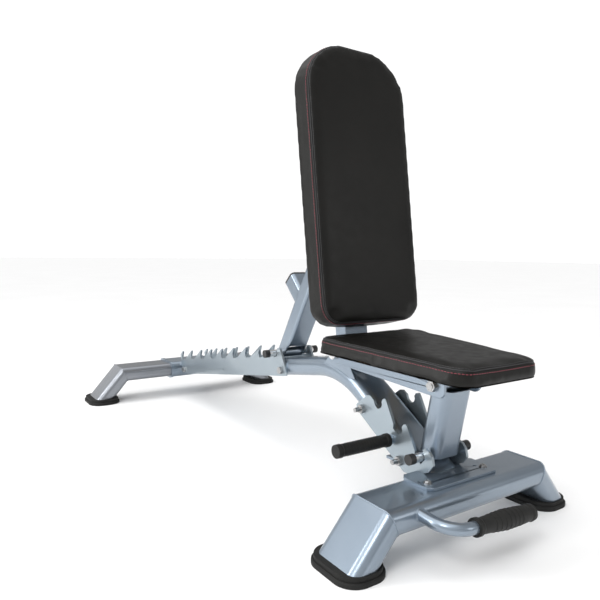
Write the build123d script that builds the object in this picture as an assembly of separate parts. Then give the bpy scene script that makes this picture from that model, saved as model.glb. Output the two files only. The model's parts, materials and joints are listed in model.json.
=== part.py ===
"""Adjustable weight bench: a welded tube frame on two T-shaped feet, a hinged seat held by
a notched front ladder, and a hinged backrest held by a prop and a long rear rack.

Millimetres, +Z up.  The bench faces -Y and lies along +Y, and its left side is -X.
Pieces are built with y = 0 over the front feet and z = 0 on the floor, and the whole model
is then moved along Y so that its origin is the middle of the space it stands on.
"""
from build123d import *
import os
from math import atan2, cos, degrees, hypot, radians, sin, tan

# ---------------------------------------------------------------- driving dimensions
# T-shaped feet: flat-oval tubes, lying crossbar and two splayed legs
T_TUBE = (110.0, 48.0)
T_CORNER = 19.0
T_WALL = 3.0
FRONT_BAR_Y = -3.0
FRONT_BAR_TOP = 104.6
FRONT_MITRE_X = 212.4
FRONT_FOOT = (256.3, 0.0)
FRONT_FOOT_HALF = (49.0, 64.9)
REAR_BAR_Y = 1312.0
REAR_BAR_TOP = 118.0
REAR_MITRE_X = 256.0
REAR_FOOT = (313.9, 1310.4)
REAR_FOOT_HALF = (50.8, 69.5)
FOOT_LOW_TIER = 9.0
FOOT_HIGH_TIER = 17.0
FOOT_SOLE = 10.0
FOOT_STEP = 4.0
FOOT_CORNER = 0.40
LEG_SPLAY = 41.0

# Spine: one bent tube from the front base plate to the rear sleeve
SPINE_TUBE = (88.0, 46.0)
SPINE_CORNER = 21.0
SPINE_WALL = 3.0
SPINE_APEX = (317.0, 267.0)
REAR_SLOPE = 9.9
FRONT_SLOPE = 31.7
SPINE_BEND = 240.0
PIN_RISE = 38.0
SEAT_PIN_REACH = 302.0
PROP_PIN_REACH = 258.0

# Notched side plates
PLATE_IN = 44.0
PLATE_OUT = 50.0
NOTCH_RADIUS = 10.0
SEAT_PITCH = 72.4
SEAT_HOOKS = 3
RACK_PITCH = 80.5
RACK_HOOKS = 9
RACK_BOLT_TAIL = 58.0

# Pins and shafts
PIN_RADIUS = 9.0
PIN_HALF = 78.5
CAP_RADIUS = 10.3
CAP_HALF = 83.0
SLEEVE_RADIUS = 12.5
AXLE_RADIUS = 8.0
BOLT_RADIUS = 6.0
PROP_BOLT_RADIUS = 7.0
RUNNING = 0.05
BUSH_WALL = 2.5

# Common axle of the seat and the backrest
AXLE = (312.0, 300.0)
LUG_IN = 36.0
LUG_OUT = 42.0
ARM_IN = 46.0
ARM_OUT = 52.0

# Seat
SEAT_TILT = 1.9
SEAT_BOLT = (13.3, 285.0)
SEAT_FRONT_Y = -110.6
SEAT_REAR_Y = 270.3
SEAT_FRONT_HALF = 109.9
SEAT_REAR_HALF = 149.1
SEAT_FRONT_TOP = 342.9
SEAT_THICK = 35.0
BOARD_THICK = 12.0
SEAT_BOARD_INSET = 14.0
BACK_BOARD_INSET = 16.0
POST_TUBE = (73.0, 50.0)
POST_CORNER = 18.0

# Backrest
BACK_LEAN = 8.5
BACK_LOW = 63.3
BACK_LENGTH = 607.7
BACK_HALF = 138.7
BACK_TOP_ROUND = 104.0
BACK_LOW_ROUND = 49.0
BACK_FRONT = -90.0
BACK_REAR = -32.0
CHANNEL_HALF = (32.0, 18.0)
CHANNEL_WALL = 4.0
PROP_BOLT_UP = 332.0
PROP_TUBE = (62.0, 42.0)
PROP_CORNER = 8.0

# Handles
FRONT_HANDLE_ROOT = (-145.0, 87.0)
FRONT_GRIP_Y = -126.5
FRONT_GRIP_Z = (80.0, 68.5)
FRONT_GRIP_X = (-92.0, 60.0)
HANDLE_TUBE_RADIUS = 11.0
HANDLE_BEND = 42.0
SIDE_GRIP = (121.0, 153.0)
SIDE_GRIP_X = (-193.0, -61.0)

# Fasteners, plates and grips
FRAME_BOLT_RADIUS = 5.0
BOLT_TAIL = 72.0
BASE_PLATE = (190.0, 79.0)
BASE_PLATE_Y = 9.0
BASE_BOLT = (77.0, -6.0)
BASE_SMALL_HOLE = (-9.0, 13.0)
FRONT_GRIP_PROFILE = (
    (0.0, 16.0),
    (0.05, 16.0),
    (0.08, 13.8),
    (0.2, 14.5),
    (0.5, 17.5),
    (0.8, 16.0),
    (0.92, 14.5),
    (0.95, 16.0),
    (1.0, 15.0),
)
SIDE_TUBE_RADIUS = 9.0
SIDE_GRIP_PROFILE = (
    (0.0, 14.0),
    (0.06, 14.0),
    (0.08, 12.4),
    (0.9, 12.4),
    (0.92, 13.6),
    (1.0, 13.2),
)
AXLE_HALF = 62.0
ARM_END_RADIUS = 22.0
SEAT_FRONT_ROUND = 44.0
SEAT_REAR_ROUND = 34.0
SEAT_PLATE = (196.0, 36.0, 5.0)
SPACER_RADIUS = 9.5
SEAT_PLATE_Y = (58.0, 232.0)
POST_HEAD_RADIUS = 12.5
BACK_HEAD_RADIUS = 14.0
CHANNEL_TOP = 372.0
BACK_PLATE_UP = (110.0, 350.0)
BACK_PLATE_HALF = 95.0
BACK_BLOCK = 8.0
PROP_NECK = 66.0
PROP_TONGUE = (44.0, 26.0)
PROP_HEAD_RADIUS = 14.0
PROP_STUB = (50.0, 46.0)
PROP_STUB_REACH = 160.0
PROP_STUB_LEAN = 45.0
PROP_STUB_LENGTH = 82.0
PROP_STUB_CAP = 5.0
PROP_FLAT_TURN = 42.8
PROP_END_GAP = 13.6
SLEEVE_HALF = 78.0
COLLAR_WIDTH = 8.0

# ---------------------------------------------------------------- derived directions
REAR_DIR = (cos(radians(REAR_SLOPE)), -sin(radians(REAR_SLOPE)))
FRONT_DIR = (-cos(radians(FRONT_SLOPE)), -sin(radians(FRONT_SLOPE)))
REAR_UP = (-FRONT_DIR[0], -FRONT_DIR[1])
BACK_UP = (sin(radians(BACK_LEAN)), cos(radians(BACK_LEAN)))


def along(start, direction, distance, rise=0.0):
    """The (y, z) point at a distance along a direction and a rise square to it, upward."""
    up = (-direction[1], direction[0])
    if up[1] < 0:
        up = (direction[1], -direction[0])
    return (
        start[0] + direction[0] * distance + up[0] * rise,
        start[1] + direction[1] * distance + up[1] * rise,
    )


SEAT_PIN = along(SPINE_APEX, FRONT_DIR, SEAT_PIN_REACH, PIN_RISE)
PROP_PIN = along(SPINE_APEX, REAR_DIR, PROP_PIN_REACH, PIN_RISE)
PROP_BOLT = along(AXLE, BACK_UP, PROP_BOLT_UP)
POST_LENGTH = hypot(SEAT_BOLT[0] - SEAT_PIN[0], SEAT_BOLT[1] - SEAT_PIN[1])
POST_LEAN = degrees(atan2(SEAT_PIN[0] - SEAT_BOLT[0], SEAT_BOLT[1] - SEAT_PIN[1]))
PROP_LENGTH = hypot(PROP_BOLT[0] - PROP_PIN[0], PROP_BOLT[1] - PROP_PIN[1])
PROP_LEAN = degrees(atan2(PROP_PIN[0] - PROP_BOLT[0], PROP_BOLT[1] - PROP_PIN[1]))
BASE_PLATE_THICK = 6.0
BASE_PLATE_TOP = FRONT_BAR_TOP + BASE_PLATE_THICK
BIG = 3000.0

nodes = {}


# ---------------------------------------------------------------- small builders
def side_frame(point, angle, x=0.0):
    """A plane square to X at a (y, z) point; its x runs along +Y turned up by the angle."""
    return Plane.YZ.offset(x) * Location((point[0], point[1], 0), (0, 0, angle))


def across(profile, x0, x1, point=(0.0, 0.0), angle=0.0):
    """A side profile given thickness from x0 to x1."""
    return extrude(side_frame(point, angle, x0) * profile, x1 - x0)


def rod(point, radius, x0, x1):
    """A round bar along X through a (y, z) point."""
    return across(Circle(radius), x0, x1, point)


def pair(profile, x_in, x_out, point=(0.0, 0.0), angle=0.0):
    """The left and the right copy of a side plate."""
    left = across(profile, -x_out, -x_in, point, angle)
    right = across(profile, x_in, x_out, point, angle)
    return left, right


def polygon(*points):
    return make_face(Polyline(*points, close=True))


def ring(point, outer, inner, x0, x1):
    return rod(point, outer, x0, x1) - rod(point, inner, x0 - 1, x1 + 1)


def tube_section(size, corner, wall):
    """Outer and inner outline of a tube."""
    outer = RectangleRounded(size[0], size[1], corner)
    inner = RectangleRounded(size[0] - 2 * wall, size[1] - 2 * wall, corner - wall)
    return outer, inner


def upright_tube(size, corner, wall, point, lean, start, end):
    """Outer and inner solid of a straight tube that rises from a (y, z) point, leaning
    towards -Y, between two distances along its axis."""
    axis = Vector(0, -sin(radians(lean)), cos(radians(lean)))
    plane = Plane(origin=(0, *point), x_dir=(1, 0, 0), z_dir=axis).offset(start)
    outer, inner = tube_section(size, corner, wall)
    return extrude(plane * outer, end - start), extrude(plane * inner, end - start)


def hexagon(point, across_flats, x0, x1):
    return across(RegularPolygon(across_flats / 2, 6, major_radius=False), x0, x1, point)


def half_space(point, normal):
    """A very large box on the side of a plane that its normal points to."""
    plane = Plane(origin=point, z_dir=normal)
    return extrude(plane * Rectangle(BIG, BIG), BIG)


# ---------------------------------------------------------------- T-shaped feet
def oval_tube(plane, length, grow=0.0, wall=T_WALL):
    """Outer and inner solid of a flat-oval tube along a plane's normal."""
    width = T_TUBE[0] + 2 * grow
    height = T_TUBE[1] + 2 * grow
    corner = T_CORNER + grow
    outer = extrude(plane * RectangleRounded(width, height, corner), length)
    inner = extrude(plane * RectangleRounded(width - 2 * wall, height - 2 * wall, corner - wall), length)
    return outer, inner


def racetrack(half, grow, z0, z1):
    """A rubber foot's outline with its long side along Y."""
    width = 2 * (half[1] + grow)
    height = 2 * (half[0] + grow)
    corner = height * FOOT_CORNER
    plane = Plane(origin=(0, 0, z0), x_dir=(0, 1, 0), z_dir=(0, 0, 1))
    return extrude(plane * RectangleRounded(width, height, corner), z1 - z0)


def t_foot(name, bar_y, bar_top, mitre_x, foot, foot_half):
    """A crossbar, two mitred legs and two rubber boots."""
    middle_z = bar_top - T_TUBE[1] / 2
    leg_splay = radians(LEG_SPLAY)
    bar_plane = Plane(origin=(-BIG / 2, bar_y, middle_z), x_dir=(0, 1, 0), z_dir=(1, 0, 0))
    bar_outer, bar_inner = oval_tube(bar_plane, BIG)
    bar = bar_outer - bar_inner
    half_turn = (radians(90) - leg_splay) / 2
    for side, word in ((-1, "left"), (1, "right")):
        mitre = (side * mitre_x, bar_y, bar_top)
        mitre_normal = (side * cos(half_turn), 0, -sin(half_turn))
        bar -= half_space(mitre, mitre_normal)
        down = Vector(side * sin(leg_splay), 0, -cos(leg_splay))
        outward = Vector(side * cos(leg_splay), 0, sin(leg_splay))
        start = Vector(*mitre) - outward * (T_TUBE[1] / 2) - down * bar_top
        leg_plane = Plane(origin=start, x_dir=(0, 1, 0), z_dir=down)
        outer, inner = oval_tube(leg_plane, 3 * bar_top)
        below_mitre = half_space(mitre, mitre_normal)
        above_sole = half_space((0, 0, FOOT_SOLE), (0, 0, 1))
        outer = outer & below_mitre & above_sole
        nodes[f"{name}_leg_{word}"] = outer - inner
        place = Location((side * foot[0], foot[1], 0))
        low = racetrack(foot_half, 0, 0, FOOT_LOW_TIER)
        low = chamfer(low.edges().group_by(Axis.Z)[-1], 2.0)
        high = racetrack(foot_half, -FOOT_STEP, FOOT_LOW_TIER, FOOT_HIGH_TIER)
        nodes[f"{name}_foot_{word}"] = place * (low + high) - outer
    nodes[f"{name}_crossbar"] = bar


# ---------------------------------------------------------------- spine
def spine_path():
    bend_tangent = SPINE_BEND * tan(radians((REAR_SLOPE + FRONT_SLOPE) / 2))
    front_end = along(SPINE_APEX, FRONT_DIR, SEAT_PIN_REACH + 60)
    front_tangent = along(SPINE_APEX, FRONT_DIR, bend_tangent)
    rear_tangent = along(SPINE_APEX, REAR_DIR, bend_tangent)
    rear_end = (REAR_BAR_Y, SPINE_APEX[1] - (REAR_BAR_Y - SPINE_APEX[0]) * tan(radians(REAR_SLOPE)))
    front_run = Line((0, *front_end), (0, *front_tangent))
    tangent = (0, -FRONT_DIR[0], -FRONT_DIR[1])
    bend = TangentArc((0, *front_tangent), (0, *rear_tangent), tangent=tangent)
    rear_run = Line((0, *rear_tangent), (0, *rear_end))
    return Wire([front_run, bend, rear_run])


def spine():
    """Outer solid and wall of the bent main tube, cut to its two ends."""
    path = spine_path()
    plane = Plane(origin=path @ 0, x_dir=(1, 0, 0), z_dir=path % 0)
    outer_section, inner_section = tube_section(SPINE_TUBE, SPINE_CORNER, SPINE_WALL)
    outer = sweep(plane * outer_section, path)
    inner = sweep(plane * inner_section, path)
    outer = outer & half_space((0, 0, BASE_PLATE_TOP), (0, 0, 1))
    outer -= rear_sleeve_body()[0]
    return outer, outer - inner


def rear_sleeve_body():
    """Outer and inner solid of the sleeve that the rear crossbar slides through."""
    origin = (-SLEEVE_HALF, REAR_BAR_Y, REAR_BAR_TOP - T_TUBE[1] / 2)
    plane = Plane(origin=origin, x_dir=(0, 1, 0), z_dir=(1, 0, 0))
    outer, inner = oval_tube(plane, 2 * SLEEVE_HALF, grow=4.0, wall=4.0 - 0.1)
    return outer, inner


def rear_sleeve():
    outer, inner = rear_sleeve_body()
    body = outer
    for side in (-1, 1):
        x = side * (SLEEVE_HALF - COLLAR_WIDTH / 2)
        origin = (x - COLLAR_WIDTH / 2, REAR_BAR_Y, REAR_BAR_TOP - T_TUBE[1] / 2)
        plane = Plane(origin=origin, x_dir=(0, 1, 0), z_dir=(1, 0, 0))
        body += oval_tube(plane, COLLAR_WIDTH, grow=6.5)[0]
    body -= inner
    screws = []
    for side in (-1, 1):
        x = side * (SLEEVE_HALF - COLLAR_WIDTH / 2)
        hole = Pos(x, REAR_BAR_Y, REAR_BAR_TOP) * Cylinder(3.0, 40.0)
        body -= hole & half_space((0, 0, REAR_BAR_TOP - 2), (0, 0, 1))
        screws.append(Pos(x, REAR_BAR_Y, REAR_BAR_TOP + 3.0) * Cylinder(2.9, 5.6))
    return body, Compound(screws)


# ---------------------------------------------------------------- notched plates
def notched(body, hook, pitch, count):
    """A side plate with a row of hooks, each standing over its round notch.  Distances run
    rearward along the line of pin centres, heights square to it."""
    profile = body
    for index in range(count):
        profile += Pos(index * pitch, 0) * hook(index)
    for index in range(count):
        profile -= Pos(index * pitch, 0) * Circle(NOTCH_RADIUS)
    return profile


def seat_hook(index):
    """A hook in front of its notch; the lowest one ends the plate in a rounded lip."""
    if index == 0:
        crest = ((-32, 9), (-20, 21), (-9, 24), (1, 22))
        lip = polygon((-31, -10), *crest, (4, 16), (-3, 10.5), (-10, 4), (-8, -20))
        return fillet(lip.vertices().sort_by(Axis.Y)[-4:], 2.0)
    hook = polygon((-60, -12), (-56, -3), (-17, 19.5), (-9, 23), (-4, 18), (-4, 8), (-6, -18), (-50, -18))
    return fillet(hook.vertices().sort_by(Axis.Y)[-3:], 2.0)


def rack_hook(index):
    """A hook behind its notch, leaning forward over it.  The first two are low, which leaves
    room for the prop's pin on its way out."""
    if index == 0:
        return polygon((NOTCH_RADIUS - 1, -8), (62, 5), (66, 3), (69, -10), (69, -18), (6, -18))
    if index == 1:
        return polygon((6, -18), (NOTCH_RADIUS, 0), (7, 9), (11, 11), (60, -8), (60, -18))
    return polygon((6, -18), (NOTCH_RADIUS, -2), (5.6, 8), (4.6, 12), (1, 17), (3, 20), (60, -8), (60, -18))


def seat_ladder_profile():
    """Three notches up the front slope."""
    bottom = -PIN_RISE - SPINE_TUBE[1] / 2
    level = -NOTCH_RADIUS - 1
    body = polygon(
        (-30, -10),
        (-19, -30),
        (-7, bottom + 15),
        (14, bottom),
        (190, bottom),
        (197, bottom + 9),
        (182, -11),
        (175, -5),
        (161, -4.5),
        (151, level),
        (-20, level),
    )
    return notched(body, seat_hook, SEAT_PITCH, SEAT_HOOKS)


def rack_profile():
    """Nine notches along the rear slope, behind a short hook that closes the front one."""
    bottom = -PIN_RISE - SPINE_TUBE[1] / 2
    level = -NOTCH_RADIUS
    end = (RACK_HOOKS - 1) * RACK_PITCH + 24
    body = polygon(
        (-43, bottom),
        (-49, bottom + 8),
        (-34, -12),
        (-24, 13),
        (-13, 13),
        (-NOTCH_RADIUS, 0),
        (-6, level),
        (end - 8, level),
        (end, bottom + 6),
        (end - 4, bottom),
    )
    profile = notched(body, rack_hook, RACK_PITCH, RACK_HOOKS)
    return profile & Pos(end - BIG / 2, 0) * Rectangle(BIG, BIG)


def ladders(spine_outer):
    angle = FRONT_SLOPE
    left, right = pair(seat_ladder_profile(), PLATE_IN, PLATE_OUT, SEAT_PIN, angle)
    return left - spine_outer, right - spine_outer


def racks(spine_outer):
    left, right = pair(rack_profile(), PLATE_IN, PLATE_OUT, PROP_PIN, -REAR_SLOPE)
    sleeve = rear_sleeve_body()[0]
    return left - spine_outer - sleeve, right - spine_outer - sleeve


def through_bolt(point, radius, near, far):
    """A bolt across two plates: shank, hexagon head at +X and nut at -X."""
    shank = rod(point, radius, -near, far + 0.01)
    head = hexagon(point, 3.4 * radius, far, far + 1.3 * radius)
    nut = hexagon(point, 3.4 * radius, -PLATE_OUT - 1.6 * radius, -PLATE_OUT)
    return shank + head + nut


# ---------------------------------------------------------------- frame
def build_frame():
    t_foot("front", FRONT_BAR_Y, FRONT_BAR_TOP, FRONT_MITRE_X, FRONT_FOOT, FRONT_FOOT_HALF)
    t_foot("rear", REAR_BAR_Y, REAR_BAR_TOP, REAR_MITRE_X, REAR_FOOT, REAR_FOOT_HALF)
    spine_outer, spine_wall = spine()
    nodes["seat_ladder_left"], nodes["seat_ladder_right"] = ladders(spine_outer)
    nodes["back_rack_left"], nodes["back_rack_right"] = racks(spine_outer)
    bolt_frame(spine_wall)
    nodes["rear_sleeve"], nodes["rear_sleeve_screws"] = rear_sleeve()
    build_base_plate()
    build_handles()
    build_axle(spine_outer)


def bolt_frame(spine_wall):
    """Bolts that clamp the notched plates through the spine, with their holes."""
    seat_bolts = [along(SEAT_PIN, REAR_UP, 176, -46), along(SEAT_PIN, REAR_UP, 34, -50)]
    rack_length = (RACK_HOOKS - 1) * RACK_PITCH
    rack_bolts = [along(PROP_PIN, REAR_DIR, reach, -46) for reach in (-24, rack_length - 4)]
    small_hole = rod(along(PROP_PIN, REAR_DIR, rack_length / 2, -44), 3.0, -BIG, BIG)
    for word in ("left", "right"):
        nodes[f"back_rack_{word}"] -= small_hole
    for name, points, tail, plates in (
        ("seat_ladder_bolts", seat_bolts, BOLT_TAIL, ("seat_ladder_left", "seat_ladder_right")),
        ("back_rack_bolts", rack_bolts, RACK_BOLT_TAIL, ("back_rack_left", "back_rack_right")),
    ):
        bolts = []
        for point in points:
            bolts.append(through_bolt(point, FRAME_BOLT_RADIUS, tail, PLATE_OUT))
            hole = rod(point, FRAME_BOLT_RADIUS + 0.1, -BIG, BIG)
            spine_wall -= hole
            for plate in plates:
                nodes[plate] -= hole
        nodes[name] = Compound(bolts)
    nodes["spine_tube"] = spine_wall


def build_base_plate():
    """Chamfered plate under the spine's front end, on four bolts, with a tongue behind."""
    plate = Pos(0, BASE_PLATE_Y, FRONT_BAR_TOP + BASE_PLATE_THICK / 2) * Box(*BASE_PLATE, BASE_PLATE_THICK)
    plate = chamfer(plate.edges().filter_by(Axis.Z), 10.0)
    tongue_end = along(SEAT_PIN, REAR_UP, 0, -PIN_RISE - SPINE_TUBE[1] / 2)[0] + 72
    tongue_start = BASE_PLATE_Y
    tongue_middle = (tongue_start + tongue_end) / 2
    tongue = Pos(0, tongue_middle, FRONT_BAR_TOP + BASE_PLATE_THICK / 2) * Box(
        SPINE_TUBE[0] - 4, tongue_end - tongue_start, BASE_PLATE_THICK
    )
    plate += tongue
    bolts = []
    bolt_x, bolt_y = BASE_BOLT
    shank_depth = BASE_PLATE_THICK + T_WALL + 9
    for side in (-1, 1):
        place = Pos(side * bolt_x, bolt_y, BASE_PLATE_TOP)
        hole = place * Cylinder(4.1, 2 * shank_depth)
        plate -= hole
        nodes["front_crossbar"] -= hole
        plate -= place * Pos(*BASE_SMALL_HOLE, 0) * Cylinder(3.2, 2 * BASE_PLATE_THICK)
        washer = place * extrude(Circle(8.0), 1.4)
        head = place * Pos(0, 0, 1.4) * extrude(Circle(6.2), 3.4)
        head = chamfer(head.edges().group_by(Axis.Z)[-1], 1.4)
        head -= place * Pos(0, 0, 3.0) * extrude(RegularPolygon(2.5, 6, major_radius=False), 3.0)
        shank = place * Pos(0, 0, -shank_depth) * extrude(Circle(4.0), shank_depth)
        bolts.append(washer + head + shank)
    for word in ("left", "right"):
        nodes[f"seat_ladder_{word}"] -= plate
    nodes["base_plate"] = plate
    nodes["base_plate_bolts"] = Compound(bolts)


def grip_body(plane, length, profile):
    """A rubber grip turned from a profile of (distance, radius) points along its axis."""
    points = [(0, 0)] + [(reach * length, radius) for reach, radius in profile] + [(length, 0)]
    outline = make_face(Polyline(*[(radius, reach) for reach, radius in points], close=True))
    turned = revolve(Plane.XZ * outline, Axis.Z)
    return plane * turned


def build_handles():
    """The lifting handle on the front crossbar and the side grip on the left ladder."""
    root_x, root_z = FRONT_HANDLE_ROOT
    grip_start = Vector(FRONT_GRIP_X[0], FRONT_GRIP_Y, FRONT_GRIP_Z[0])
    grip_end = Vector(FRONT_GRIP_X[1], FRONT_GRIP_Y, FRONT_GRIP_Z[1])
    grip_axis = (grip_end - grip_start).normalized()
    inside = (root_x, FRONT_BAR_Y - T_TUBE[0] / 2 + 6, root_z)
    corner = grip_start - grip_axis * (grip_start.X - root_x)
    path = FilletPolyline(inside, corner, grip_end - grip_axis * 4, radius=HANDLE_BEND)
    start = Plane(origin=path @ 0, z_dir=path % 0)
    tube = sweep(start * Circle(HANDLE_TUBE_RADIUS), path)
    bar_plane = Plane(
        origin=(-BIG / 2, FRONT_BAR_Y, FRONT_BAR_TOP - T_TUBE[1] / 2), x_dir=(0, 1, 0), z_dir=(1, 0, 0)
    )
    tube -= oval_tube(bar_plane, BIG)[0]
    nodes["front_handle_tube"] = tube
    grip_plane = Plane(origin=grip_start, z_dir=grip_axis)
    grip = grip_body(grip_plane, (grip_end - grip_start).length, FRONT_GRIP_PROFILE)
    nodes["front_handle_grip"] = grip - tube
    stub = rod(SIDE_GRIP, SIDE_TUBE_RADIUS, SIDE_GRIP_X[0] + 5, -PLATE_OUT)
    nodes["side_grip_stub"] = stub
    side_plane = Plane(origin=(SIDE_GRIP_X[1], *SIDE_GRIP), z_dir=(-1, 0, 0))
    grip = grip_body(side_plane, SIDE_GRIP_X[1] - SIDE_GRIP_X[0], SIDE_GRIP_PROFILE)
    nodes["side_grip"] = grip - stub


def build_axle(spine_outer):
    """Two lugs on the spine and the axle that the seat and the backrest turn on."""
    foot = Pos(*AXLE) * Circle(20.0)
    profile = polygon((268, 250), (356, 250), (372, 262), (331, 306), (293, 306), (252, 250)) + foot
    left, right = pair(profile, LUG_IN, LUG_OUT)
    hole = rod(AXLE, AXLE_RADIUS + 0.02, -BIG, BIG)
    for word, lug in (("left", left), ("right", right)):
        pieces = (lug - spine_outer - hole).solids()
        nodes[f"axle_lug_{word}"] = pieces.sort_by(SortBy.VOLUME)[-1]
    shaft = rod(AXLE, AXLE_RADIUS, -AXLE_HALF, AXLE_HALF)
    head = rod(AXLE, 12.5, AXLE_HALF, AXLE_HALF + 5)
    nut = ring(AXLE, 12.5, AXLE_RADIUS, -AXLE_HALF, -AXLE_HALF + 7)
    nodes["main_axle"] = Compound([shaft + head, nut])


# ---------------------------------------------------------------- seat
def seat_place(shape):
    """Turn a piece built level about the seat's front top edge to the seat's tilt."""
    pivot = Location((0, SEAT_FRONT_Y, SEAT_FRONT_TOP))
    return pivot * Rot(SEAT_TILT, 0, 0) * pivot.inverse() * shape


def seat_outline(inset):
    front = SEAT_FRONT_HALF - inset
    rear = SEAT_REAR_HALF - inset
    outline = polygon(
        (-front, SEAT_FRONT_Y + inset),
        (front, SEAT_FRONT_Y + inset),
        (rear, SEAT_REAR_Y - inset),
        (-rear, SEAT_REAR_Y - inset),
    )
    corners = outline.vertices().group_by(Axis.Y)
    outline = fillet(corners[0], SEAT_FRONT_ROUND - inset)
    return fillet(outline.vertices().group_by(Axis.Y)[-1], SEAT_REAR_ROUND - inset)


def build_seat():
    bottom = SEAT_FRONT_TOP - SEAT_THICK
    pad = extrude(Plane.XY.offset(bottom) * seat_outline(0), SEAT_THICK)
    pad = fillet(pad.edges().group_by(Axis.Z)[-1], 9.0)
    board = extrude(Plane.XY.offset(bottom) * seat_outline(SEAT_BOARD_INSET), BOARD_THICK)
    plates = []
    screws = []
    for centre in SEAT_PLATE_Y:
        z = bottom - SEAT_PLATE[2]
        plate = Pos(0, centre, z + SEAT_PLATE[2] / 2) * Box(*SEAT_PLATE)
        for side in (-1, 1):
            place = Pos(side * (SEAT_PLATE[0] / 2 - 13), centre, z)
            plate -= place * Cylinder(3.05, 40)
            board -= place * Cylinder(3.05, 40)
            shank = place * extrude(Circle(3.0), SEAT_PLATE[2] + 9)
            head = place * Pos(0, 0, -3.5) * extrude(RegularPolygon(5.0, 6, major_radius=False), 3.5)
            screws.append(shank + head)
        plates.append(plate)
    pocket = extrude(Plane.XY.offset(bottom - 1) * seat_outline(SEAT_BOARD_INSET), BOARD_THICK + 1)
    nodes["seat_pad"] = seat_place(pad - pocket)
    nodes["seat_board"] = seat_place(board)
    nodes["seat_plates"] = seat_place(Compound(plates))
    nodes["seat_screws"] = seat_place(Compound(screws))
    build_seat_arms()


def build_seat_arms():
    """Two side bars from the common axle to the post's bolt."""
    bolt_y, bolt_z = SEAT_BOLT
    front_y = bolt_y - 27
    top = SEAT_FRONT_TOP - SEAT_THICK - SEAT_PLATE[2] - 0.1
    rise = tan(radians(SEAT_TILT))
    front_top = top + rise * (front_y - SEAT_FRONT_Y)
    rear_top = top + rise * (AXLE[0] - 30 - SEAT_FRONT_Y)
    bar = polygon(
        (front_y, bolt_z - 21),
        (AXLE[0], AXLE[1] - ARM_END_RADIUS),
        (AXLE[0], rear_top),
        (AXLE[0] - 30, rear_top),
        (front_y, front_top),
    )
    bar = fillet(bar.vertices().group_by(Axis.X)[0], 14.0)
    bar += Pos(*AXLE) * Circle(ARM_END_RADIUS)
    left, right = pair(bar, ARM_IN, ARM_OUT)
    axle_hole = rod(AXLE, AXLE_RADIUS + RUNNING + BUSH_WALL, -BIG, BIG)
    bolt_hole = rod(SEAT_BOLT, BOLT_RADIUS + 0.02, -BIG, BIG)
    nodes["seat_arm_left"] = left - axle_hole - bolt_hole
    nodes["seat_arm_right"] = right - axle_hole - bolt_hole
    bushes = [bush(AXLE, AXLE_RADIUS, side, ARM_IN, ARM_OUT) for side in (-1, 1)]
    nodes["seat_arm_bushes"] = Compound(bushes)
    shank = rod(SEAT_BOLT, BOLT_RADIUS, -ARM_OUT - 9, ARM_OUT)
    head = hexagon(SEAT_BOLT, 19.0, ARM_OUT, ARM_OUT + 7)
    nut = hexagon(SEAT_BOLT, 19.0, -ARM_OUT - 8, -ARM_OUT) - rod(SEAT_BOLT, BOLT_RADIUS, -BIG, BIG)
    nodes["seat_post_bolt"] = Compound([shank + head, nut])


def bush(point, shaft_radius, side, x_in, x_out):
    """A plain bearing ring round a shaft, on one side of the middle."""
    x0, x1 = sorted((side * x_in, side * x_out))
    return ring(point, shaft_radius + RUNNING + BUSH_WALL, shaft_radius + RUNNING, x0, x1)


def cross_sleeve(point, outer, shaft_radius, half, bush_length):
    """A welded cross tube with a bush at each end for the shaft that it turns on."""
    seat = shaft_radius + RUNNING + BUSH_WALL
    tube = ring(point, outer, seat, -half, half)
    bushes = [bush(point, shaft_radius, side, half - bush_length, half) for side in (-1, 1)]
    return tube, Compound(bushes)


# ---------------------------------------------------------------- seat post
def pin_set(prefix, point, holder):
    """A cross pin with its end caps in the sleeve that holds it."""
    nodes[f"{prefix}_pin_sleeve"] = ring(point, SLEEVE_RADIUS, PIN_RADIUS, -holder, holder)
    nodes[f"{prefix}_pin"] = rod(point, PIN_RADIUS, -PIN_HALF, PIN_HALF)
    caps = []
    for side in (-1, 1):
        x0, x1 = sorted((side * (PIN_HALF - 9), side * CAP_HALF))
        cap = rod(point, CAP_RADIUS, x0, x1) - nodes[f"{prefix}_pin"]
        caps.append(cap)
    nodes[f"{prefix}_pin_caps"] = Compound(caps)


def build_post():
    half = POST_TUBE[0] / 2
    outer, inner = upright_tube(POST_TUBE, POST_CORNER, 3.0, SEAT_PIN, POST_LEAN, 2.0, POST_LENGTH - 8)
    tube = outer - inner
    tube -= rod(SEAT_PIN, SLEEVE_RADIUS, -half, half)
    tube -= rod(SEAT_BOLT, POST_HEAD_RADIUS, -half, half)
    nodes["seat_post_tube"] = tube
    sleeve, bushes = cross_sleeve(SEAT_BOLT, POST_HEAD_RADIUS, BOLT_RADIUS, half, 14.0)
    nodes["seat_post_head"] = sleeve
    nodes["seat_post_bushes"] = bushes
    pin_set("seat_post", SEAT_PIN, half)
    spacers = []
    for side in (-1, 1):
        x0, x1 = sorted((side * (half + 0.5), side * ARM_IN))
        spacers.append(ring(SEAT_BOLT, SPACER_RADIUS, BOLT_RADIUS, x0, x1))
    nodes["seat_post_spacers"] = Compound(spacers)


# ---------------------------------------------------------------- backrest
BACK_PLANE = Plane(
    origin=(0, *AXLE),
    x_dir=(1, 0, 0),
    z_dir=(0, cos(radians(BACK_LEAN)), -sin(radians(BACK_LEAN))),
)


def back_slab(profile, front, rear):
    """A front-view profile (x, distance up the back) given depth from front to rear."""
    turned = mirror(profile, about=Plane.XZ)
    return extrude(BACK_PLANE.offset(front) * turned, rear - front)


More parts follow.
